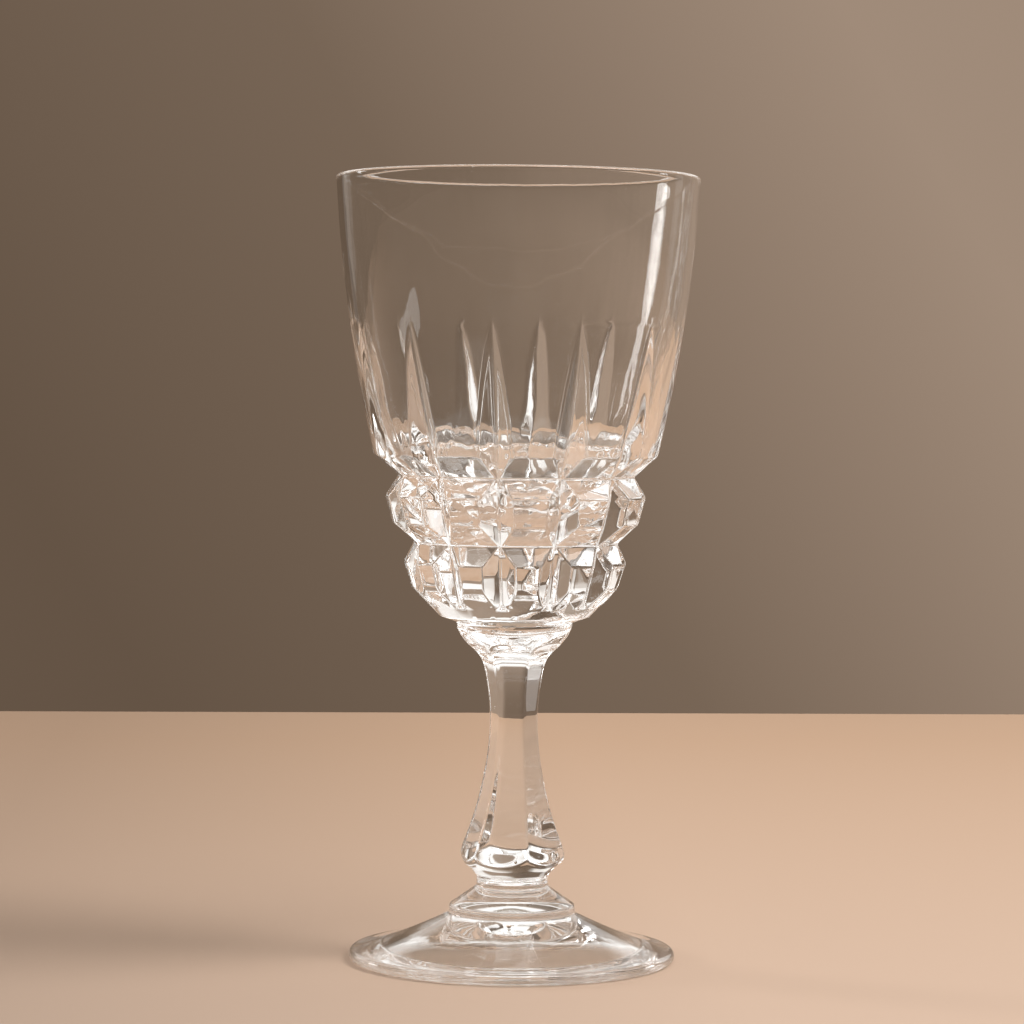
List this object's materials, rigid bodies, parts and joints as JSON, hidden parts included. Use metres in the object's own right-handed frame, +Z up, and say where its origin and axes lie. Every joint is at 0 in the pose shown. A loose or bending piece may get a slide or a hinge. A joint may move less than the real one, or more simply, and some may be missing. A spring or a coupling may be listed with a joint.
{
  "type": "liqueur glass",
  "caption": "Stemmed liqueur glass of clear pressed glass: flared bowl with mitre flutes over tiers of bevelled blocks, faceted stem with a knop, round foot.",
  "frame": {"origin": "centre of the foot's underside, on the surface that the glass stands on", "axes": "+Z up along the glass's axis, -Y towards the side that the picture shows"},
  "size_m": [0.0518, 0.0518, 0.112],
  "materials": {
    "clear_glass": "fire-polished clear soda glass"
  },
  "bodies": {
    "root": {"bowl": "clear_glass", "stem": "clear_glass", "foot": "clear_glass"}
  },
  "joints": []
}
